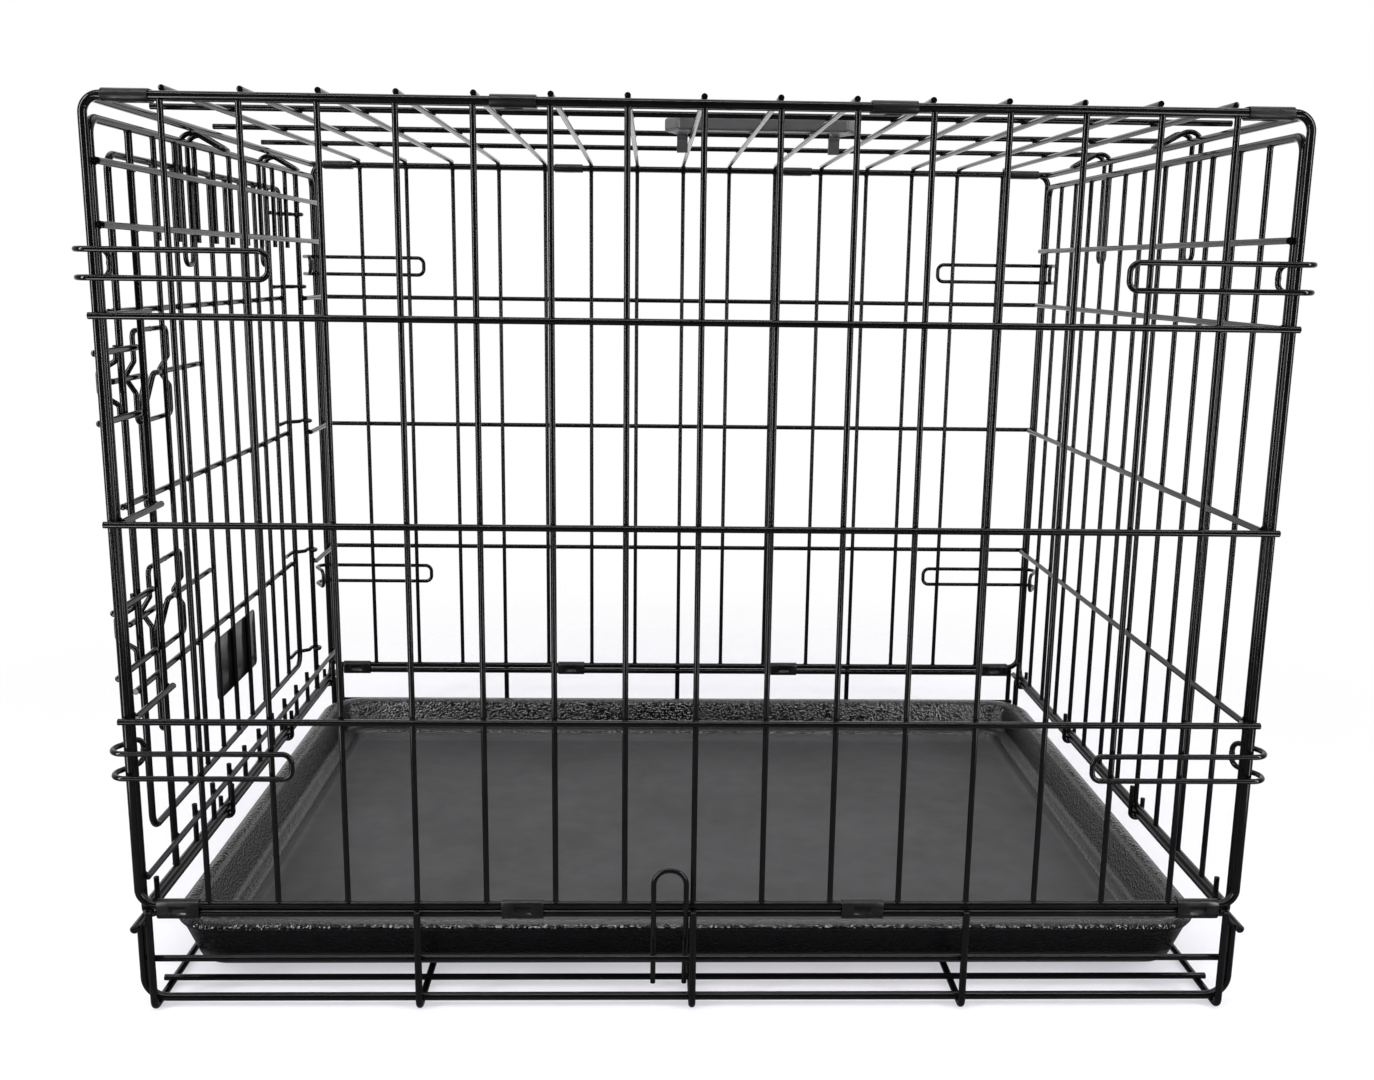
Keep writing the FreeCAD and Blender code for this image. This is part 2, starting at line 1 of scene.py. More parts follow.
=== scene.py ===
# %% [markdown]
# # A folding wire dog crate
# The real crate is black coated steel wire, welded into panels that hang on sheet metal clips, with a
# moulded pan on its floor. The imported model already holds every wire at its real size, so this lesson
# leaves those shapes alone. It adds what a drawing of the structure leaves out: weld beads, rounded
# wire tips, pressed clips, the stepped pan, the border of the label plate, and above all the finishes.

# %% Load the frame
import json
import math

import bpy
import numpy as np
from mathutils import Matrix, Vector


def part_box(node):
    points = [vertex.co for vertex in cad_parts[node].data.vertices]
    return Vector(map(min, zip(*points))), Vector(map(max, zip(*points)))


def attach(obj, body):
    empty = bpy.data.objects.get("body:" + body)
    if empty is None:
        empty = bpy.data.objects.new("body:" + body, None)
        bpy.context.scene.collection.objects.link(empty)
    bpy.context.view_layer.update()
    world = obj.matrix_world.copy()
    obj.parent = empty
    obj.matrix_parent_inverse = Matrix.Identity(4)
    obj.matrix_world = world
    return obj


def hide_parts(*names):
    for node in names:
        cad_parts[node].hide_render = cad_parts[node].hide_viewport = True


MM = 0.001
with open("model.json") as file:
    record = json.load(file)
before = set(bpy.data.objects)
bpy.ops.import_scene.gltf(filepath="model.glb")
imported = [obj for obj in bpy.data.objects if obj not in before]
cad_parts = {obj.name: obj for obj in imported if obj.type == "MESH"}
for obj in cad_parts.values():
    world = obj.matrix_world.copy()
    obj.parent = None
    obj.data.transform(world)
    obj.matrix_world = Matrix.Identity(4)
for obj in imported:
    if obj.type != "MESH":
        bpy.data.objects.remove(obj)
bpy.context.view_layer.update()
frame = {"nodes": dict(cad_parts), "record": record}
nodes = frame["nodes"]

# %% [markdown]
# ## The camera
# A photograph of a box shaped thing tells where its camera stood: the corners of the front and the back
# panel fix the lens, the distance and the tilt. One could turn the camera by eye until it looks right,
# but the measured numbers also keep the mesh lines in step with each other. The focal length is found in
# pixels, and Blender wants it in millimetres on a 36 mm sensor.

# %% Make the camera
photo_width = 1374
focal_pixels = 1348.1
camera_offset = Vector((-25.6, -925.8, 409.1)) * MM
yaw = math.radians(1.614)
pitch = math.radians(11.379)
roll = math.radians(0.739)

panel_low, panel_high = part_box("front_panel_frame")
panel_middle_x = (panel_low.x + panel_high.x) / 2
ahead = Vector((math.sin(yaw) * math.cos(pitch), math.cos(yaw) * math.cos(pitch), -math.sin(pitch)))
level_right = Vector((math.cos(yaw), -math.sin(yaw), 0))
level_up = level_right.cross(ahead)
right = math.cos(roll) * level_right + math.sin(roll) * level_up
up = math.cos(roll) * level_up - math.sin(roll) * level_right

camera_data = bpy.data.cameras.new("photo_camera")
camera_data.sensor_fit = "HORIZONTAL"
camera_data.sensor_width = 36
camera_data.lens = focal_pixels / photo_width * camera_data.sensor_width
camera_data.clip_start = 0.01
camera = bpy.data.objects.new("photo_camera", camera_data)
turn = Matrix((right, up, -ahead)).transposed().to_4x4()
place = Matrix.Translation(camera_offset + Vector((panel_middle_x, 0, 0)))
camera.matrix_world = place @ turn
bpy.context.scene.collection.objects.link(camera)
bpy.context.scene.camera = camera
print("Lens in mm:", round(camera_data.lens, 2))

# %% [markdown]
# ## Helpers for meshes
# Everything new is written as lists of points and faces. Operators could build the same meshes, but they
# depend on what is selected, while a list gives the same mesh each time. A face pair that meets at a
# steep angle is marked sharp, so that round wire stays smooth and a cut edge stays crisp.


# %% Define the mesh helpers
def mark_sharp(mesh, degrees=38):
    """Smooth shading, with a crease wherever two faces meet at more than the angle."""
    mesh.shade_smooth()
    mesh.set_sharp_from_angle(angle=math.radians(degrees))


def add_piece(name, points, faces, body, finish):
    """A new mesh that rides on a body and wears a finish."""
    mesh = bpy.data.meshes.new(name)
    mesh.from_pydata([tuple(p) for p in points], [], faces)
    mesh.validate()
    mark_sharp(mesh)
    mesh.materials.append(finish)
    piece = bpy.data.objects.new(name, mesh)
    bpy.context.scene.collection.objects.link(piece)
    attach(piece, body)
    return piece


def strip(rows_of_points):
    """Points and faces of a skin between closed rows of equally many points."""
    count = len(rows_of_points[0])
    faces = []
    for row in range(len(rows_of_points) - 1):
        for i in range(count):
            j = (i + 1) % count
            faces.append((row * count + i, row * count + j, (row + 1) * count + j, (row + 1) * count + i))
    points = [p for r in rows_of_points for p in r]
    return points, faces


print("Mesh helpers ready")

# %% [markdown]
# ## Helpers for finishes
# Each finish is a Principled shader with a few noise textures. The noise reads object coordinates, which
# are metres on this model, so a scale of 1000 means grains of about one millimetre. Whatever is the same
# all over is set on the shader's own sockets, and only what varies is linked.


# %% Define the finish helpers
class Finish:
    """A Principled material with short ways to add noise, ramps and bump."""

    def __init__(self, name, **sockets):
        self.material = bpy.data.materials.new(name)
        self.material.use_nodes = True
        self.tree = self.material.node_tree
        self.shader = self.tree.nodes["Principled BSDF"]
        self.coordinates = self.tree.nodes.new("ShaderNodeTexCoord")
        for socket, value in sockets.items():
            self.shader.inputs[socket.replace("_", " ")].default_value = value

    def link(self, source, target):
        self.tree.links.new(source, target)

    def noise(self, scale, detail=3.0, stretch=None):
        node = self.tree.nodes.new("ShaderNodeTexNoise")
        node.inputs["Scale"].default_value = scale
        node.inputs["Detail"].default_value = detail
        start = self.coordinates.outputs["Object"]
        if stretch:
            mapping = self.tree.nodes.new("ShaderNodeMapping")
            mapping.inputs["Scale"].default_value = stretch
            self.link(start, mapping.inputs["Vector"])
            start = mapping.outputs["Vector"]
        self.link(start, node.inputs["Vector"])
        return node.outputs["Fac"]

    def cells(self, scale):
        node = self.tree.nodes.new("ShaderNodeTexVoronoi")
        node.inputs["Scale"].default_value = scale
        self.link(self.coordinates.outputs["Object"], node.inputs["Vector"])
        return node.outputs["Distance"]

    def height(self, low, high):
        """0 at one height of the object, 1 at another."""
        split = self.tree.nodes.new("ShaderNodeSeparateXYZ")
        self.link(self.coordinates.outputs["Object"], split.inputs["Vector"])
        return self.spread(split.outputs["Z"], low, high, 0, 1)

    def facing_up(self, low, high):
        """0 where the normal's height is the low value or less, 1 where it is the high value or more."""
        split = self.tree.nodes.new("ShaderNodeSeparateXYZ")
        self.link(self.coordinates.outputs["Normal"], split.inputs["Vector"])
        return self.spread(split.outputs["Z"], low, high, 0, 1)

    def times(self, first, second):
        node = self.tree.nodes.new("ShaderNodeMath")
        node.operation = "MULTIPLY"
        self.link(first, node.inputs[0])
        self.link(second, node.inputs[1])
        return node.outputs["Value"]

    def spread(self, source, low, high, to_low, to_high):
        node = self.tree.nodes.new("ShaderNodeMapRange")
        for socket, value in zip(("From Min", "From Max", "To Min", "To Max"), (low, high, to_low, to_high)):
            node.inputs[socket].default_value = value
        self.link(source, node.inputs["Value"])
        return node.outputs["Result"]

    def ramp(self, source, stops):
        node = self.tree.nodes.new("ShaderNodeValToRGB")
        ramp = node.color_ramp
        for element, (place, colour) in zip(ramp.elements, (stops[0], stops[-1])):
            element.position = place
            element.color = (*colour, 1)
        for place, colour in stops[1:-1]:
            ramp.elements.new(place).color = (*colour, 1)
        self.link(source, node.inputs["Fac"])
        return node.outputs["Color"]

    def mix(self, share, first, second):
        node = self.tree.nodes.new("ShaderNodeMix")
        self.link(share, node.inputs["Factor"])
        self.link(first, node.inputs["A"])
        self.link(second, node.inputs["B"])
        return node.outputs["Result"]

    def mix_colours(self, share, first, second):
        node = self.tree.nodes.new("ShaderNodeMix")
        node.data_type = "RGBA"
        sockets = {socket.identifier: socket for socket in node.inputs}
        self.link(share, sockets["Factor_Float"])
        self.link(first, sockets["A_Color"])
        self.link(second, sockets["B_Color"])
        return next(socket for socket in node.outputs if socket.identifier == "Result_Color")

    def bump(self, source, depth, strength=1.0, under=None):
        node = self.tree.nodes.new("ShaderNodeBump")
        node.inputs["Distance"].default_value = depth
        node.inputs["Strength"].default_value = strength
        self.link(source, node.inputs["Height"])
        if under:
            self.link(under, node.inputs["Normal"])
        return node.outputs["Normal"]

    def set(self, socket, source):
        self.link(source, self.shader.inputs[socket])


print("Finish helpers ready")

# %% [markdown]
# ## Black coated wire
# The wire is dipped or powder coated after welding, so the black runs over the welds too. Face on, such a
# coat mirrors about two parts in a hundred, and at a flat angle it mirrors much more, which is why wires
# seen lengthwise look pale. A metal shader would be wrong here: the steel is hidden. A nearly black base with
# low roughness gives thin highlight lines, and a faint wave in the coat breaks them up.


# %% Make the wire coat
def make_wire_coat():
    finish = Finish("wire_coat", Specular_IOR_Level=0.28)
    tone = finish.noise(38, 4)
    blacks = [(0.3, (0.0016, 0.0016, 0.0018)), (0.62, (0.0028, 0.0028, 0.003)),
              (0.85, (0.007, 0.007, 0.0074))]
    finish.set("Base Color", finish.ramp(tone, blacks))
    finish.set("Roughness", finish.spread(finish.noise(160, 3), 0.3, 0.7, 0.1, 0.18))
    finish.set("Normal", finish.bump(finish.noise(120, 1), 0.00008, 0.14))
    return finish.material


wire_coat = make_wire_coat()
print("Made", wire_coat.name)

# %% [markdown]
# ## Satin clip sheet
# The clips are stamped from thin sheet and coated like the wire, but their coat is duller, with fine marks
# along the way the sheet was drawn. Noise stretched along one axis makes such marks.


# %% Make the clip finish
def make_clip_sheet():
    finish = Finish("clip_sheet", Specular_IOR_Level=0.35)
    tone = finish.noise(90, 4)
    blacks = [(0.3, (0.0018, 0.0018, 0.002)), (0.75, (0.005, 0.005, 0.0053))]
    finish.set("Base Color", finish.ramp(tone, blacks))
    drawn = finish.noise(500, 2, stretch=(0.12, 1, 1))
    finish.set("Roughness", finish.spread(drawn, 0.3, 0.7, 0.26, 0.46))
    finish.set("Normal", finish.bump(drawn, 0.00005, 0.6))
    return finish.material


clip_sheet = make_clip_sheet()
print("Made", clip_sheet.name)

# %% [markdown]
# ## Moulded pan plastic
# The pan is pressed from black polyethylene sheet with a pebble grain. Its floor is scuffed matte, and its
# colour is painted a lighter charcoal, a painted sheen for the pale light that the floor takes from the white
# surroundings. The stretched walls and rim keep the plastic's near black, stay shiny and sparkle where each
# pebble catches the light. The outer side lay against the mould and is dull. One material does it all: the
# height above the pan's floor sets the roughness and passes the colour from the floor's painted sheen to the
# walls' black, and the way a surface faces dims the mirroring of the outer side.

# %% Make the pan plastic
pan_low, pan_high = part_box("floor_pan")


def make_pan_plastic():
    finish = Finish("pan_plastic")
    wall = finish.height(pan_low.z + 0.004, pan_low.z + 0.01)
    tone = finish.noise(11, 5)
    # The floor's lighter tone is painted sheen; the walls keep the plastic's own near black.
    floor_tone_with_painted_sheen = finish.ramp(tone, [(0.3, (0.04, 0.04, 0.042)), (0.7, (0.054, 0.054, 0.057))])
    wall_tone = finish.ramp(tone, [(0.3, (0.002, 0.002, 0.0023)), (0.7, (0.0036, 0.0036, 0.004))])
    finish.set("Base Color", finish.mix_colours(wall, floor_tone_with_painted_sheen, wall_tone))
    scuffs = finish.spread(finish.noise(60, 5), 0.3, 0.7, 0.46, 0.6)
    shine = finish.spread(finish.noise(220, 3), 0.3, 0.7, 0.06, 0.16)
    finish.set("Roughness", finish.mix(wall, scuffs, shine))
    inner = finish.facing_up(-0.3, 0.15)
    shiny = finish.spread(wall, 0, 1, 0.24, 0.6)
    finish.set("Specular IOR Level", finish.times(shiny, finish.spread(inner, 0, 1, 0.1, 1)))
    grain = finish.bump(finish.noise(1500, 2), 0.00012, 0.5)
    pebbles = finish.times(finish.cells(640), finish.spread(wall, 0, 1, 0.1, 1))
    finish.set("Normal", finish.bump(pebbles, 0.00042, 0.8, under=grain))
    return finish.material


pan_plastic = make_pan_plastic()
print("Made", pan_plastic.name)

# %% [markdown]
# ## Handle and label plate
# The handle is a harder injection moulded plastic with a fine spark texture. The label plate is smooth and
# glossy with light smudges, and it stays bare.


# %% Make the handle and plate plastics
def make_handle_plastic():
    finish = Finish("handle_plastic", Specular_IOR_Level=0.6)
    greys = [(0.3, (0.038, 0.038, 0.04)), (0.7, (0.055, 0.055, 0.058))]
    finish.set("Base Color", finish.ramp(finish.noise(70, 4), greys))
    finish.set("Roughness", finish.spread(finish.noise(300, 3), 0.3, 0.7, 0.32, 0.46))
    finish.set("Normal", finish.bump(finish.noise(1700, 2), 0.00006, 0.7))
    return finish.material


def make_plate_plastic():
    finish = Finish("plate_plastic", Specular_IOR_Level=0.3)
    blacks = [(0.3, (0.006, 0.006, 0.0065)), (0.8, (0.011, 0.011, 0.0115))]
    finish.set("Base Color", finish.ramp(finish.noise(40, 3), blacks))
    finish.set("Roughness", finish.spread(finish.noise(55, 5), 0.35, 0.75, 0.1, 0.3))
    finish.set("Normal", finish.bump(finish.noise(24, 2), 0.0004, 0.4))
    return finish.material


finishes = {"black_wire": wire_coat, "clip_steel": clip_sheet, "pan_plastic": pan_plastic,
            "handle_plastic": make_handle_plastic(), "plate_plastic": make_plate_plastic()}
print("Made", len(finishes), "finishes")

# %% [markdown]
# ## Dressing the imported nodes
# The record names a material slot for each node, so the finishes are kept by slot name and put on in one
# loop. Setting them by hand would take a line for each of the many nodes.

# %% Dress the nodes
for subpart in frame["record"]["subparts"]:
    mesh = nodes[subpart["node"]].data
    mesh.materials.clear()
    mesh.materials.append(finishes[subpart["material_slot"]])
print("Dressed", len(nodes), "nodes")

# %% [markdown]
# ## Reading the wires
# A node such as the front panel's uprights holds many wires in one mesh. The real wires are cut and laid one
# by one, so the mesh is split into its islands, one for each wire. Blender can separate loose parts into
# objects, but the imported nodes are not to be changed, so only their points are read.


# %% Split nodes into wires
def islands(node, weld):
    """Point sets of the node's separate shells, or of its separate faces if points aren't welded."""
    mesh = nodes[node].data
    points = np.empty(len(mesh.vertices) * 3, np.float32)
    mesh.vertices.foreach_get("co", points)
    points = points.reshape(-1, 3).astype(float)
    keys = np.arange(len(points))
    if weld:
        keys = np.unique(np.round(points, 6), axis=0, return_inverse=True)[1].ravel()
    parent = list(range(len(points)))

    def root(i):
        while parent[i] != i:
            parent[i] = parent[parent[i]]
            i = parent[i]
        return i

    for polygon in mesh.polygons:
        first, *others = [keys[i] for i in polygon.vertices]
        for other in others:
            parent[root(other)] = root(first)
    roots = np.array([root(key) for key in keys])
    return [points[roots == r] for r in np.unique(roots)]


def wire_boxes(node):
    """Low and high corners of each separate wire, or clip, in a node."""
    return [(shell.min(axis=0), shell.max(axis=0)) for shell in islands(node, True)]


def frame_boxes(node):
    """Low and high corners of the four sides of a rectangular frame."""
    low, high = (np.array(corner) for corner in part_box(node))
    flat = int(np.argmin(high - low))
    wire = (high - low)[flat]
    boxes = []
    for axis in {0, 1, 2} - {flat}:
        first_high = high.copy()
        first_high[axis] = low[axis] + wire
        second_low = low.copy()
        second_low[axis] = high[axis] - wire
        boxes += [(low, first_high), (second_low, high)]
    return boxes


front_uprights = wire_boxes("front_panel_uprights")
print("Front panel uprights:", len(front_uprights))

# %% [markdown]
# ## Finding the crossings
# Welds sit where two wires touch. Two straight wires that cross have boxes that meet in a small patch, and
# the patch's thin side is the direction in which the wires were pressed together. A box test is enough here,
# because all the mesh wires run along the axes.

# %% Find the crossings
touch = 0.25 * MM
least_patch = 2 * MM


def crossings(first_boxes, second_boxes):
    """Middle, pressing axis and half size of each patch where wires of two sets meet."""
    found = []
    for first_low, first_high in first_boxes:
        for second_low, second_high in second_boxes:
            low = np.maximum(first_low, second_low) - touch
            high = np.minimum(first_high, second_high) + touch
            size = high - low
            if (size > 0).all() and np.sort(size)[1] > least_patch:
                found.append(((low + high) / 2, int(np.argmin(size)), np.sort(size)[1] / 2))
    return found


print("Front panel crossings:", len(crossings(front_uprights, wire_boxes("front_panel_rows"))))

# %% [markdown]
# ## Weld beads
# Resistance welding presses two wires into each other until the steel melts, and a little of it squeezes
# out along both wires. A sphere would look like a berry on the wire. A lens with four soft lobes, one along
# each wire, is closer. One bead is shaped once, and copies are laid at every crossing of a body.


# %% Shape a weld bead
bead_points = 16
bead_levels = (-1.0, -0.8, -0.35, 0.35, 0.8, 1.0)
bead_core = 0.8
bead_lobe = 0.28
bead_flatness = 0.62
bead_tip = 0.02


def bead(middle, axis, half):
    """Rows of points of a four lobed lens, pressed along an axis."""
    ways = np.roll(np.eye(3), -axis, axis=0)
    rows_of_points = []
    for level in bead_levels:
        reach = math.sqrt(max(0.0, 1 - level * level)) + bead_tip
        row = []
        for i in range(bead_points):
            angle = 2 * math.pi * i / bead_points
            lobe = half * reach * (bead_core + bead_lobe * math.cos(4 * angle))
            across = ways[1] * math.cos(angle) + ways[2] * math.sin(angle)
            row.append(middle + across * lobe + ways[0] * level * half * bead_flatness)
        rows_of_points.append(row)
    return rows_of_points


def merge(parts):
    """One list of points and faces from several."""
    all_points = []
    all_faces = []
    for points, faces in parts:
        start = len(all_points)
        all_points += list(points)
        all_faces += [tuple(i + start for i in face) for face in faces]
    return all_points, all_faces


def capped(rows_of_points):
    """A closed skin from closed rows, with its first and last row filled."""
    points, faces = strip(rows_of_points)
    count = len(rows_of_points[0])
    faces.append(tuple(reversed(range(count))))
    faces.append(tuple(range(len(points) - count, len(points))))
    return points, faces


print("Points in a bead:", bead_points * len(bead_levels))

# %% [markdown]
# ## Laying the beads
# A real panel is welded in one press, all crossings at a time. In the same way the beads of a panel make one
# mesh, which rides on the panel's body. One object for each bead would be slow and would clutter the scene.

# %% Lay the weld beads
welded = {
    "front_welds": ("crate_frame", [("front_panel_uprights", "front_panel_rows"),
                                    ("front_panel_uprights", "front_panel_frame"),
                                    ("front_panel_rows", "front_panel_frame")]),
    "back_welds": ("crate_frame", [("back_panel_uprights", "back_panel_rows"),
                                   ("back_panel_uprights", "back_panel_frame"),
                                   ("back_panel_rows", "back_panel_frame")]),
    "roof_welds": ("crate_frame", [("roof_cross_wires", "roof_long_wires"),
                                   ("roof_cross_wires", "roof_frame")]),
    "right_end_welds": ("right_end", [("right_end_uprights", "right_end_rows"),
                                      ("right_end_uprights", "right_end_frame"),
                                      ("right_end_rows", "right_end_frame")]),
    "left_end_welds": ("left_end", [("left_end_short_wires", "left_end_rows"),
                                    ("left_end_edge_wires", "left_end_rows"),
                                    ("left_end_short_wires", "left_end_frame"),
                                    ("left_end_edge_wires", "left_end_frame"),
                                    ("left_end_rows", "left_end_frame")]),
    "door_welds": ("door", [("door_uprights", "door_rows"), ("door_uprights", "door_frame"),
                            ("door_rows", "door_frame")]),
}


def boxes_of(node):
    return frame_boxes(node) if node.endswith("_frame") else wire_boxes(node)


for name, (body, pairs) in welded.items():
    beads = []
    for first, second in pairs:
        for middle, axis, half in crossings(boxes_of(first), boxes_of(second)):
            beads.append(capped(bead(middle, axis, half)))
    points, faces = merge(beads)
    add_piece(name, points, faces, body, wire_coat)
    print(name, len(beads), "beads")

# %% [markdown]
# ## Wire tips
# A cut wire keeps a sharp rim only until it is coated: the coat draws back into a drop at the tip. The
# packed wires end flat, so each open end gets a low dome. Where two ends of a bent frame meet, the real
# wire is butt welded and shows a slight collar instead. To find the ends, the mesh is split into faces that
# share no points: a flat, small and round one is a cut end, and two that lie close together are a seam.

# %% Find the cut ends
flatness = 0.001 * MM
widest_wire = 3 * MM
seam_gap = 0.5 * MM
least_points = 6
near_radii = 4


def cut_ends(node):
    """Middle, axis and radius of each flat, small and round face of a node."""
    ends = []
    for face in islands(node, False):
        if len(face) < least_points:
            continue
        middle = (face.min(axis=0) + face.max(axis=0)) / 2
        spokes = face - middle
        radius = np.linalg.norm(spokes, axis=1).max()
        axis = np.linalg.svd(spokes)[2][2]
        if np.abs(spokes @ axis).max() <= flatness and radius <= widest_wire:
            ends.append((middle, axis, radius))
    return ends


def turned_outwards(end, shells):
    """The same end, with its axis pointing away from the wire it belongs to."""
    middle, axis, radius = end
    owner = min(shells, key=lambda shell: np.linalg.norm(shell - middle, axis=1).min())
    near = owner[np.linalg.norm(owner - middle, axis=1) < near_radii * radius]
    if (near.mean(axis=0) - middle) @ axis > 0:
        axis = -axis
    return middle, axis, radius


def flat_ends(node):
    """The cut ends of a node's wires: the lone ones, and those that meet another in a seam."""
    shells = islands(node, True)
    ends = [turned_outwards(end, shells) for end in cut_ends(node)]
    lone = []
    met = []
    for end in ends:
        close = sum(np.linalg.norm(end[0] - other[0]) < seam_gap for other in ends)
        (lone if close == 1 else met).append(end)
    return lone, met


tips, seams = flat_ends("front_panel_rows")
print("Front panel rows have", len(tips), "tips and", len(seams), "seam ends")

# %% [markdown]
# ## Making the tips
# Domes and collars are both turned shapes: a list of levels says how far along the wire and how wide. A
# sphere on each end would bulge over the wire, while levels can hug it. Uprights that end squarely against
# a frame's rails show no tip and get none.

# %% Round the tips and collar the seams
tip_points = 14
tip_levels = ((-0.25, 0.98), (-0.05, 1.02), (0.08, 0.96), (0.18, 0.8), (0.25, 0.5), (0.27, 0.06))
collar_levels = ((-0.9, 1.0), (-0.55, 1.05), (-0.2, 1.12), (0.2, 1.12), (0.55, 1.05), (0.9, 1.0))


def turned(middle, way, radius, levels, count):
    """Rows of points of a shape turned round a way, by levels along it and shares of its radius."""
    way = Vector(way)
    side = way.orthogonal().normalized()
    other = way.cross(side)
    rows_of_points = []
    for along, share in levels:
        row = []
        for i in range(count):
            angle = 2 * math.pi * i / count
            spoke = side * math.cos(angle) + other * math.sin(angle)
            row.append(np.array(Vector(middle) + way * along * radius + spoke * share * radius))
        rows_of_points.append(row)
    return rows_of_points


hidden_ends = ("front_panel_uprights", "back_panel_uprights", "right_end_uprights", "door_uprights",
               "left_end_edge_wires")
for body, members in frame["record"]["behaviour"]["bodies"].items():
    shapes = []
    for node in members:
        if nodes[node].data.materials[0] is not wire_coat or node in hidden_ends:
            continue
        tips, seams = flat_ends(node)
        shapes += [capped(turned(*tip, tip_levels, tip_points)) for tip in tips]
        shapes += [capped(turned(*seam, collar_levels, tip_points)) for seam in seams[::2]]
    if shapes:
        points, faces = merge(shapes)
        add_piece(body + "_wire_tips", points, faces, body, wire_coat)
        print(body, len(shapes), "tips and collars")

# %% [markdown]
# ## Hinge clips
# Each clip is a sleeve of thin sheet rolled round two rails, with a tongue pressed in at its middle so that
# it grips. A plain tube would hide that. The sleeve is swept along the rails from one outline, a stadium,
# and at the middle the outline's flat sides are pushed in between the rails.

# %% Shape a clip
clip_points = 44
tongue_half = 4.2 * MM
tongue_ramp = 0.5 * MM
tongue_depth = 1.5 * MM
tongue_peak = 1.1
lip = 0.3 * MM
lip_trim = 0.2 * MM


def stadium(count, spread, radius):
    """Points of a stadium outline, and how far each lies along the flat between the two rounds."""
    outline = []
    arc = math.pi * radius
    total = 2 * (spread + arc)
    for i in range(count):
        way = (i + 0.5) * total / count
        if way < spread:
            outline.append((way - spread / 2, radius, True))
        elif way < spread + arc:
            angle = (way - spread) / radius
            outline.append((spread / 2 + radius * math.sin(angle), radius * math.cos(angle), False))
        elif way < 2 * spread + arc:
            outline.append((spread / 2 - (way - spread - arc), -radius, True))
        else:
            angle = (way - 2 * spread - arc) / radius
            outline.append((-spread / 2 - radius * math.sin(angle), -radius * math.cos(angle), False))
    return outline


def clip_rows(low, high, shrink):
    """Rows of points along one sleeve, at its outer or its inner skin."""
    size = high - low
    middle = (low + high) / 2
    wide = 1 if size[1] > size[2] else 2
    thin = 3 - wide
    radius = size[thin] / 2
    spread = size[wide] - 2 * radius
    half = size[0] / 2
    stations = [(-half, 0.0), (-half + lip, 0.0), (-tongue_half - tongue_ramp, 0.0), (-tongue_half, 1.0),
                (0.0, tongue_peak), (tongue_half, 1.0), (tongue_half + tongue_ramp, 0.0),
                (half - lip, 0.0), (half, 0.0)]
    rows_of_points = []
    for along, press in stations:
        row = []
        trim = lip_trim if abs(along) == half and shrink == 0 else 0.0
        for across, out, flat in stadium(clip_points, spread, radius - shrink):
            push = 0.0
            if flat:
                push = press * tongue_depth * (1 - (2 * across / spread) ** 2)
            point = middle.copy()
            point[0] += along
            point[wide] += across
            point[thin] += out - math.copysign(push + trim, out)
            row.append(point)
        rows_of_points.append(row)
    return rows_of_points


print("Points round a clip:", clip_points)

# %% [markdown]
# ## Pressing the clips
# Thin sheet has two skins. The outline is swept twice, once at the outer skin and once further in, and the
# rows are joined end to end into one closed loop. A Solidify modifier could thicken a single skin, but the
# inner one would then lose its round shape at the tongue.

# %% Press the clips
sheet = 0.8 * MM
for node in ("front_top_clips", "back_top_clips", "front_bottom_clips", "back_bottom_clips"):
    sleeves = []
    for low, high in wire_boxes(node):
        outer = clip_rows(low, high, 0.0)
        inner = clip_rows(low, high, sheet)
        skin = outer + inner[::-1] + outer[:1]
        sleeves.append(strip(skin))
    points, faces = merge(sleeves)
    clips = add_piece(node + "_pressed", points, faces, "crate_frame", clip_sheet)
    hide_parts(node)
    print(node, len(sleeves), "clips")

# %% [markdown]
# ## The floor pan
# The pan is one sheet drawn over a mould: a wide rounded rim, sloping walls, a narrow step inside, and a flat
# floor. Modelling it as a box with a hole would lose the soft corners. It is swept instead: one cross
# section, given as pairs of inset and height, is carried round a rounded rectangle. The corner radius
# shrinks with the inset, as on a real mould.

# %% Sweep the pan
corner_steps = 12
pan_corner = 32 * MM
least_pan_corner = 7 * MM
pan_section = [
    (60, 0), (16, 0), (13.4, 0.5), (11.8, 2.0), (10.7, 4.6), (3.6, 22.5), (1.2, 25.6), (0.3, 26.8), (0, 27.8),
    (0.3, 28.8), (1.0, 29.7), (2.0, 30.4), (3.2, 30.85), (4.6, 31), (7.2, 30.9), (9.2, 30.5), (10.6, 29.6),
    (11.7, 28.0), (17.4, 12.8),
    (18.3, 11.3), (19.7, 10.4), (21.6, 10.1), (26, 9.8), (27.2, 9.3), (28, 8.2), (30, 4.4), (31.2, 3.1),
    (33, 2.6), (36, 2.5), (60, 2.5)]


def rounded_ring(low, high, level, inset, corner, least):
    """Points of a rounded rectangle in a box's two longer ways, at a level along its thinnest way."""
    size = high - low
    level_axis = min(range(3), key=lambda axis: size[axis])
    first, second = (level_axis + 1) % 3, (level_axis + 2) % 3
    radius = max(corner - inset, least)
    reach = (size[first] / 2 - inset - radius, size[second] / 2 - inset - radius)
    ring = []
    for quarter, (sign_a, sign_b) in enumerate(((1, 1), (-1, 1), (-1, -1), (1, -1))):
        for step in range(corner_steps + 1):
            angle = math.pi / 2 * (quarter + step / corner_steps)
            point = (low + high) / 2
            point[first] += sign_a * reach[0] + radius * math.cos(angle)
            point[second] += sign_b * reach[1] + radius * math.sin(angle)
            point[level_axis] = low[level_axis] + level
            ring.append(point)
    return ring


rings = [rounded_ring(pan_low, pan_high, height * MM, inset * MM, pan_corner, least_pan_corner)
         for inset, height in pan_section]
points, faces = capped(rings)
pan = add_piece("moulded_pan", points, faces, "pan", pan_plastic)
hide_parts("floor_pan")
print("Pan section has", len(pan_section), "points")

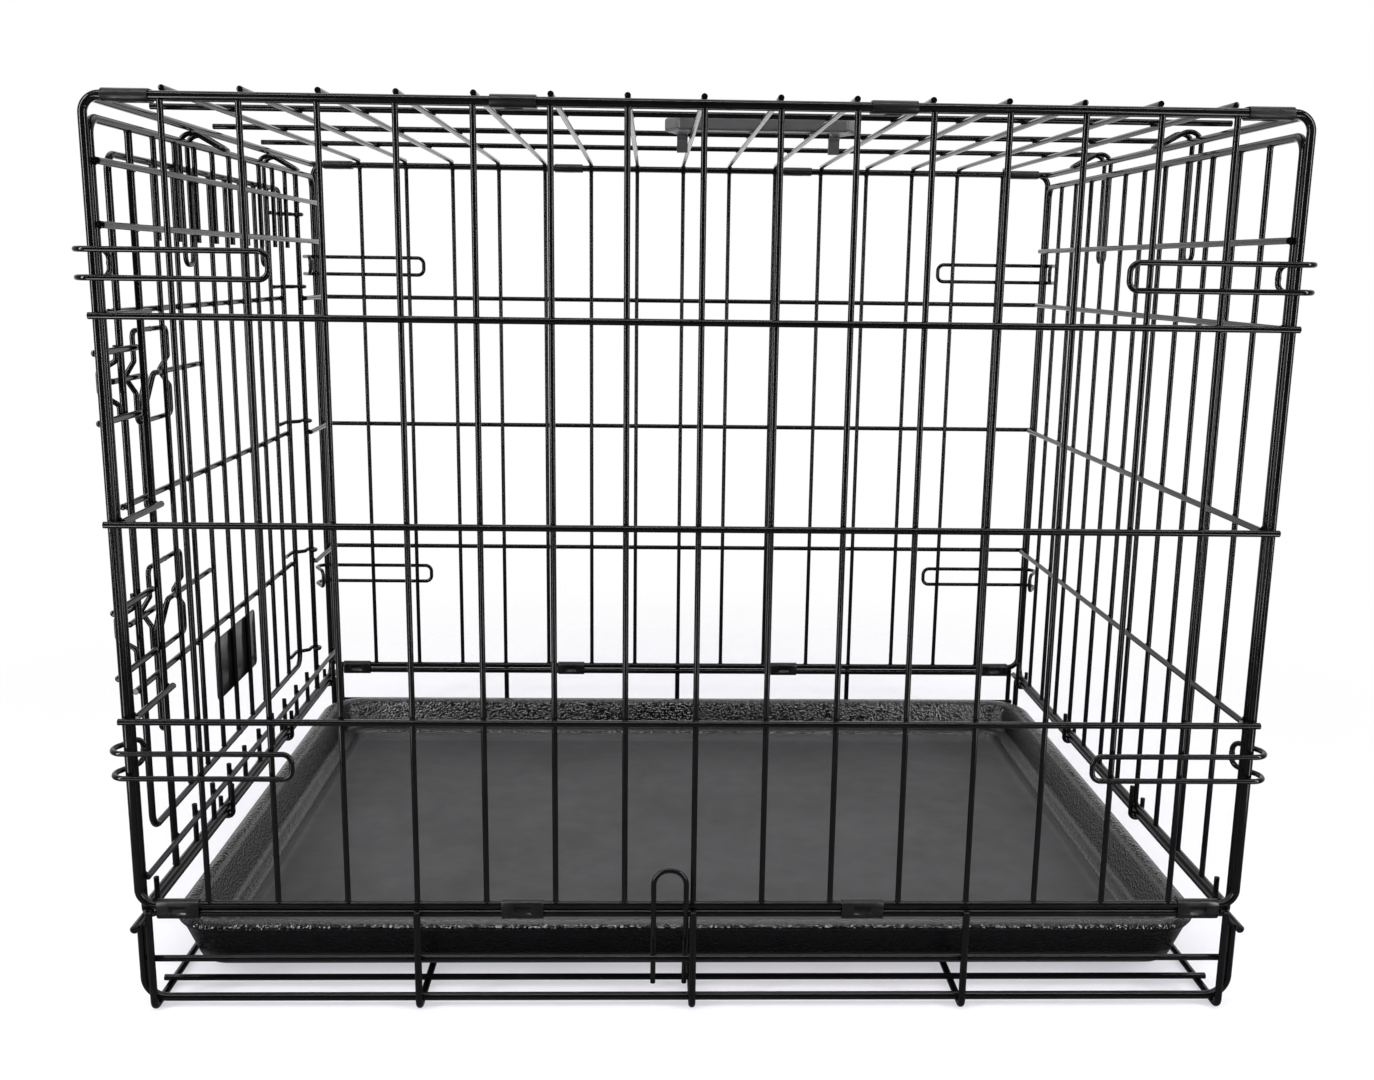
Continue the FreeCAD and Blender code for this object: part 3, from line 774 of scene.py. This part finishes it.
# %% [markdown]
# ## The label plate
# The plate behind the door's wires is a small moulding with a raised border that would frame a label. It
# stays bare here. The same sweep makes it: a section from the shallow field, over the border and the rounded
# edge, to the flat inner side. The door's outer side is towards low X.

# %% Sweep the plate
plate_low, plate_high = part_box("label_plate")
plate_thick = (plate_high.x - plate_low.x) / MM
plate_corner = 4 * MM
least_plate_corner = 1.2 * MM
plate_section = [
    (12, 0.5), (3.3, 0.5), (3.0, 0.42), (2.8, 0.2), (2.6, 0.06), (2.2, 0), (0.4, 0), (0.1, 0.08), (0, 0.3),
    (0, 0.65), (0.1, 0.9), (0.4, 1.0), (12, 1.0)]
rings = [rounded_ring(plate_low, plate_high, share * plate_thick * MM, inset * MM, plate_corner,
                      least_plate_corner) for inset, share in plate_section]
points, faces = capped(rings)
plate = add_piece("moulded_plate", points, faces, "door", finishes["plate_plastic"])
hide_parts("label_plate")
print("Plate thickness in mm:", round(plate_thick, 2))

# %% [markdown]
# ## Studio
# The photograph is high key: white floor, white surround, and soft light from above. A camera sees such a
# scene as white, but the light that falls on the crate has to stay at a plain level. So the studio tells rays
# apart: what is seen, directly or in a mirror, may be whiter than what sheds light.

# %% Start the studio
studio = bpy.context.scene
studio.view_settings.view_transform = "Standard"


def node_in(tree, kind, **values):
    """A new node with values on its named inputs."""
    node = tree.nodes.new(kind)
    for socket, value in values.items():
        node.inputs[socket.replace("_", " ")].default_value = value
    return node


def larger(tree, first, second):
    """The larger of two values."""
    node = tree.nodes.new("ShaderNodeMath")
    node.operation = "MAXIMUM"
    tree.links.new(first, node.inputs[0])
    tree.links.new(second, node.inputs[1])
    return node.outputs["Value"]


def ranged(tree, source, **values):
    """A value stretched from one range to another."""
    node = node_in(tree, "ShaderNodeMapRange", **values)
    tree.links.new(source, node.inputs["Value"])
    return node.outputs["Result"]


def blend(tree, share, first, second):
    """A shader that passes from one to another by a share."""
    node = tree.nodes.new("ShaderNodeMixShader")
    tree.links.new(share, node.inputs["Fac"])
    tree.links.new(first, node.inputs[1])
    tree.links.new(second, node.inputs[2])
    return node.outputs["Shader"]


def seen_rays(tree, path):
    """1 for rays from the camera, mirrors or glass, and 0 for rays that carry light to matte surfaces."""
    seen = path["Is Camera Ray"]
    for ray in ("Is Glossy Ray", "Is Transmission Ray"):
        seen = larger(tree, seen, path[ray])
    return seen


print("View transform:", studio.view_settings.view_transform)

# %% [markdown]
# ## The surround
# A world that is bright all round would flatten the wires, because a wire mirrors everything about it as thin
# lines. Here mirrors see a white backdrop behind the crate and a dark room on the camera's side, so the wires
# turn black. The camera itself sees plain white everywhere.

# %% Make the surround
room_light = 0.4
dark_side = 0.02
dark_until = -0.35
white_from = 0.6


def make_world():
    world = bpy.data.worlds.new("white_surround")
    studio.world = world
    world.use_nodes = True
    tree = world.node_tree
    path = tree.nodes.new("ShaderNodeLightPath").outputs
    way = tree.nodes.new("ShaderNodeTexCoord")
    split = tree.nodes.new("ShaderNodeSeparateXYZ")
    tree.links.new(way.outputs["Generated"], split.inputs["Vector"])
    room = ranged(tree, split.outputs["Y"], From_Min=dark_until, From_Max=white_from, To_Min=dark_side,
                  To_Max=1.0)
    seen = tree.nodes["Background"]
    seen.inputs["Color"].default_value = (1, 1, 1, 1)
    tree.links.new(larger(tree, room, path["Is Camera Ray"]), seen.inputs["Strength"])
    lit = node_in(tree, "ShaderNodeBackground", Color=(1, 1, 1, 1), Strength=room_light)
    surround = blend(tree, seen_rays(tree, path), lit.outputs["Background"], seen.outputs["Background"])
    tree.links.new(surround, tree.nodes["World Output"].inputs["Surface"])


make_world()
print("World:", studio.world.name)

# %% [markdown]
# ## The floor
# The floor is pale and keeps the shadow. A share of bluish white, for seen rays only, keeps that shadow as
# faint as in the photograph. Mirrors see the floor dimmed, again to keep the wires black. Towards its edge it
# thins out to nothing, so that no horizon shows. A curved backdrop would also hide it, but would have to
# follow the camera to every side.

# %% Paint the floor
glow_share = 0.5
mirror_dimming = 0.8
fade_forward = 0.1
fade_start = 0.39
fade_end = 0.95


def thinning(tree):
    """0 near the crate, 1 far out, measured from a point a little in front of the crate's middle."""
    place = tree.nodes.new("ShaderNodeTexCoord")
    shift = tree.nodes.new("ShaderNodeVectorMath")
    shift.inputs[1].default_value = (0, fade_forward, 0)
    tree.links.new(place.outputs["Object"], shift.inputs[0])
    length = tree.nodes.new("ShaderNodeVectorMath")
    length.operation = "LENGTH"
    tree.links.new(shift.outputs["Vector"], length.inputs[0])
    fade = node_in(tree, "ShaderNodeMapRange", From_Min=fade_start, From_Max=fade_end)
    fade.interpolation_type = "SMOOTHSTEP"
    tree.links.new(length.outputs["Value"], fade.inputs["Value"])
    return fade.outputs["Result"]


def make_floor_paint():
    material = bpy.data.materials.new("pale_floor")
    material.use_nodes = True
    tree = material.node_tree
    path = tree.nodes.new("ShaderNodeLightPath").outputs
    paint = tree.nodes["Principled BSDF"]
    paint.inputs["Base Color"].default_value = (0.93, 0.922, 0.955, 1)
    paint.inputs["Roughness"].default_value = 0.6
    paint.inputs["Specular IOR Level"].default_value = 0.2
    glow = node_in(tree, "ShaderNodeEmission", Color=(0.955, 0.94, 1, 1), Strength=1.0)
    dark = node_in(tree, "ShaderNodeEmission", Color=(0, 0, 0, 1))
    clear = tree.nodes.new("ShaderNodeBsdfTransparent")
    share = ranged(tree, seen_rays(tree, path), To_Max=glow_share)
    lifted = blend(tree, share, paint.outputs["BSDF"], glow.outputs["Emission"])
    dimming = ranged(tree, path["Is Glossy Ray"], To_Max=mirror_dimming)
    mirrored = blend(tree, dimming, lifted, dark.outputs["Emission"])
    thinned = blend(tree, thinning(tree), mirrored, clear.outputs["BSDF"])
    tree.links.new(thinned, tree.nodes["Material Output"].inputs["Surface"])
    return material


floor_paint = make_floor_paint()
print("Floor fades out from", fade_start, "to", fade_end, "m")

# %% [markdown]
# ## Laying the floor
# One square is enough, as it thins out long before its edge. It is staging and not a piece of the crate.

# %% Lay the floor
floor_half = 4.0
corners = [(-floor_half, -floor_half, 0), (floor_half, -floor_half, 0), (floor_half, floor_half, 0),
           (-floor_half, floor_half, 0)]
floor_mesh = bpy.data.meshes.new("pale_floor")
floor_mesh.from_pydata(corners, [], [(0, 1, 2, 3)])
floor_mesh.materials.append(floor_paint)
floor = bpy.data.objects.new("pale_floor", floor_mesh)
studio.collection.objects.link(floor)
print("Floor is", 2 * floor_half, "m wide")

# %% [markdown]
# ## The lamps
# A large box overhead gives the soft main light. The others are narrow, because a narrow lamp draws a thin
# bright line on a wire: a bar in front for the level wires, strips at the sides and cards on the floor for
# the upright ones. One big lamp would be simpler, but would paint broad grey bands on them.


# %% Set the lamps
def soft_box(name, place, target, width, height, watts):
    """A rectangular lamp at a place, turned to a target."""
    lamp = bpy.data.lights.new(name, "AREA")
    lamp.shape = "RECTANGLE"
    lamp.size = width
    lamp.size_y = height
    lamp.energy = watts
    holder = bpy.data.objects.new(name, lamp)
    holder.location = place
    holder.rotation_euler = (Vector(target) - Vector(place)).to_track_quat("-Z", "Y").to_euler()
    holder.visible_camera = False
    studio.collection.objects.link(holder)


crate_middle = (0, 0, 0.25)
soft_box("overhead_box", (0.0, 0.7, 2.1), crate_middle, 2.4, 1.6, 14)
soft_box("front_bar", (0.0, -0.9, 1.7), crate_middle, 2.4, 0.12, 19)
for side, way, watts in (("left", -1, 13), ("right", 1, 10.5)):
    soft_box(side + "_strip", (way * 1.0, -0.8, 0.55), crate_middle, 0.14, 1.0, watts)
for side, way, watts in (("left", -1, 4), ("right", 1, 3)):
    soft_box(side + "_card", (way * 0.5, -0.95, 0.02), (way * 0.5, -0.95, 1.0), 0.1, 1.0, watts)
